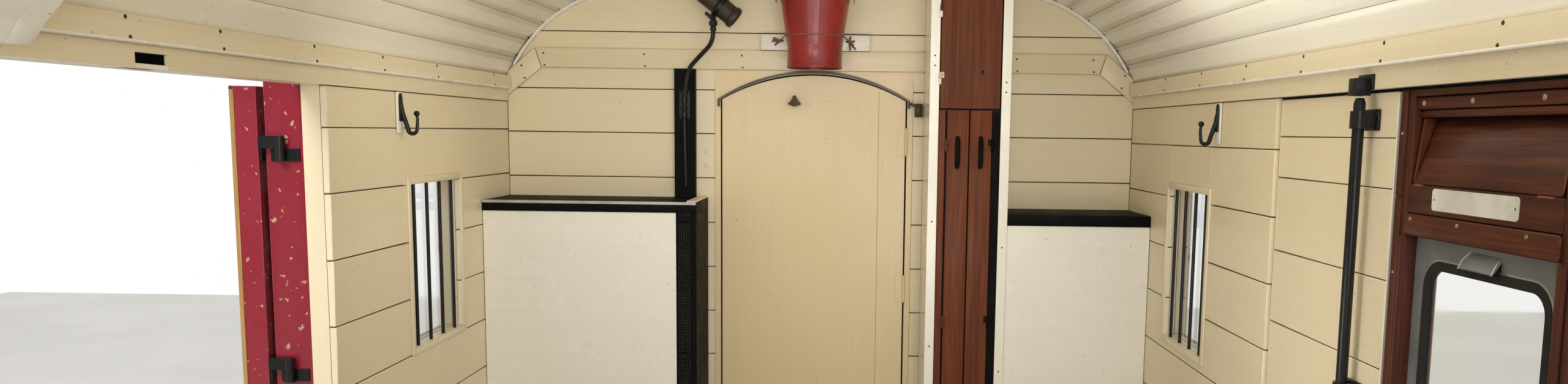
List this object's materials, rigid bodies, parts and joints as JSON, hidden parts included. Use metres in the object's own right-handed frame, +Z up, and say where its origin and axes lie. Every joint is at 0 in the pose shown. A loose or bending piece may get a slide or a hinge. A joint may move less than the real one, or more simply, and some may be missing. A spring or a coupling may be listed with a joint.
{
  "type": "railway coach luggage compartment end section",
  "caption": "End section of a wooden railway coach body: arched roof, boarded walls with double side doors, arched gangway door, cupboard, lockers, hooks and fire bucket.",
  "frame": {"origin": "on the centreline under the middle of the compartment, on the underside of the middle cross bearer", "axes": "+Z up, +Y along the coach towards the end wall with the gangway door, +X to the right when facing that wall"},
  "size_m": [3.191, 3.94, 2.6399],
  "materials": {
    "cream_board": "satin",
    "white_board": "satin",
    "crimson_panel": "gloss",
    "frame_timber": "matte",
    "floor_wood": "matte",
    "mahogany": "gloss",
    "black_board": "satin",
    "black_iron": "gloss",
    "cream_metal": "satin",
    "red_metal": "gloss",
    "black_rubber": "matte",
    "brass_fitting": "worn",
    "pane_glass": "clear",
    "sash_aluminium": "brushed"
  },
  "bodies": {
    "coach_body": {"bucket_batten": "cream_board", "cantrails": "crimson_panel", "catch_and_keeper": "black_iron", "coat_hooks": "black_iron", "corner_hose": "black_rubber", "corner_post": "black_iron", "cornice_end": "cream_board", "cross_bearers": "frame_timber", "cupboard_carcase": "white_board", "cupboard_face_frame": "black_board", "cupboard_hinges": "cream_metal", "cupboard_posts": "white_board", "door_head_bead": "mahogany", "end_door_frame": "cream_board", "end_wall_head": "cream_board", "end_wall_left": "cream_board", "end_wall_right": "cream_board", "fire_bucket": "red_metal", "floor_boards": "floor_wood", "gangway_surround": "black_iron", "hinge_brackets": "black_iron", "hinge_posts": "crimson_panel", "hose_fittings": "brass_fitting", "locker_left_box": "white_board", "locker_left_top": "black_board", "locker_right_front": "white_board", "locker_right_top": "black_board", "roof_bead": "white_board", "roof_crown": "white_board", "roof_shoulders": "white_board", "roof_tube": "cream_metal", "shoulder_casing": "white_board", "side_cornices": "cream_board", "side_sills": "frame_timber", "wall_left": "cream_board", "wall_right": "cream_board", "window_bars": "black_iron", "window_panes": "pane_glass"},
    "right_boarded_door": {"right_boarded_leaf": "cream_board", "right_boarded_leaf_bolt": "black_iron", "right_boarded_leaf_hinges": "black_iron"},
    "right_droplight_door": {"right_droplight_leaf": "mahogany", "right_droplight_leaf_hinges": "black_iron", "right_droplight_pane": "pane_glass", "right_droplight_sash": "sash_aluminium"},
    "left_boarded_door": {"left_boarded_leaf": "crimson_panel", "left_boarded_leaf_bolt": "black_iron", "left_boarded_leaf_hinges": "black_iron"},
    "left_droplight_door": {"left_droplight_leaf": "mahogany", "left_droplight_leaf_hinges": "black_iron", "left_droplight_pane": "pane_glass", "left_droplight_sash": "sash_aluminium"},
    "gangway_door": {"end_door": "cream_board", "end_door_hinges": "cream_metal", "end_door_hook": "cream_metal"},
    "cupboard_top_door": {"cupboard_upper_door": "mahogany"},
    "cupboard_door_left": {"cupboard_left_door": "mahogany"},
    "cupboard_door_right": {"cupboard_right_door": "mahogany"}
  },
  "joints": [
    {"name": "right_boarded_hinge", "type": "hinge", "parent": "coach_body", "child": "right_boarded_door", "pos_m": [1.458, 0.238, 1], "axis": [0, 0, 1], "range_deg": [0, 175]},
    {"name": "right_droplight_hinge", "type": "hinge", "parent": "coach_body", "child": "right_droplight_door", "pos_m": [1.458, -1.096, 1], "axis": [0, 0, -1], "range_deg": [0, 175]},
    {"name": "left_boarded_hinge", "type": "hinge", "parent": "coach_body", "child": "left_boarded_door", "pos_m": [-1.458, -1.096, 1], "axis": [0, 0, -1], "range_deg": [0, 175]},
    {"name": "left_droplight_hinge", "type": "hinge", "parent": "coach_body", "child": "left_droplight_door", "pos_m": [-1.458, 0.238, 1], "axis": [0, 0, 1], "range_deg": [0, 175]},
    {"name": "gangway_hinge", "type": "hinge", "parent": "coach_body", "child": "gangway_door", "pos_m": [0.3635, 1.844, 1.2], "axis": [0, 0, 1], "range_deg": [0, 90]},
    {"name": "cupboard_top_hinge", "type": "hinge", "parent": "coach_body", "child": "cupboard_top_door", "pos_m": [0.4755, 1.484, 2.15], "axis": [0, 0, -1], "range_deg": [0, 100]},
    {"name": "cupboard_left_hinge", "type": "hinge", "parent": "coach_body", "child": "cupboard_door_left", "pos_m": [0.5045, 1.484, 1.1], "axis": [0, 0, -1], "range_deg": [0, 90]},
    {"name": "cupboard_right_hinge", "type": "hinge", "parent": "coach_body", "child": "cupboard_door_right", "pos_m": [0.6855, 1.484, 1.1], "axis": [0, 0, 1], "range_deg": [0, 90]}
  ]
}
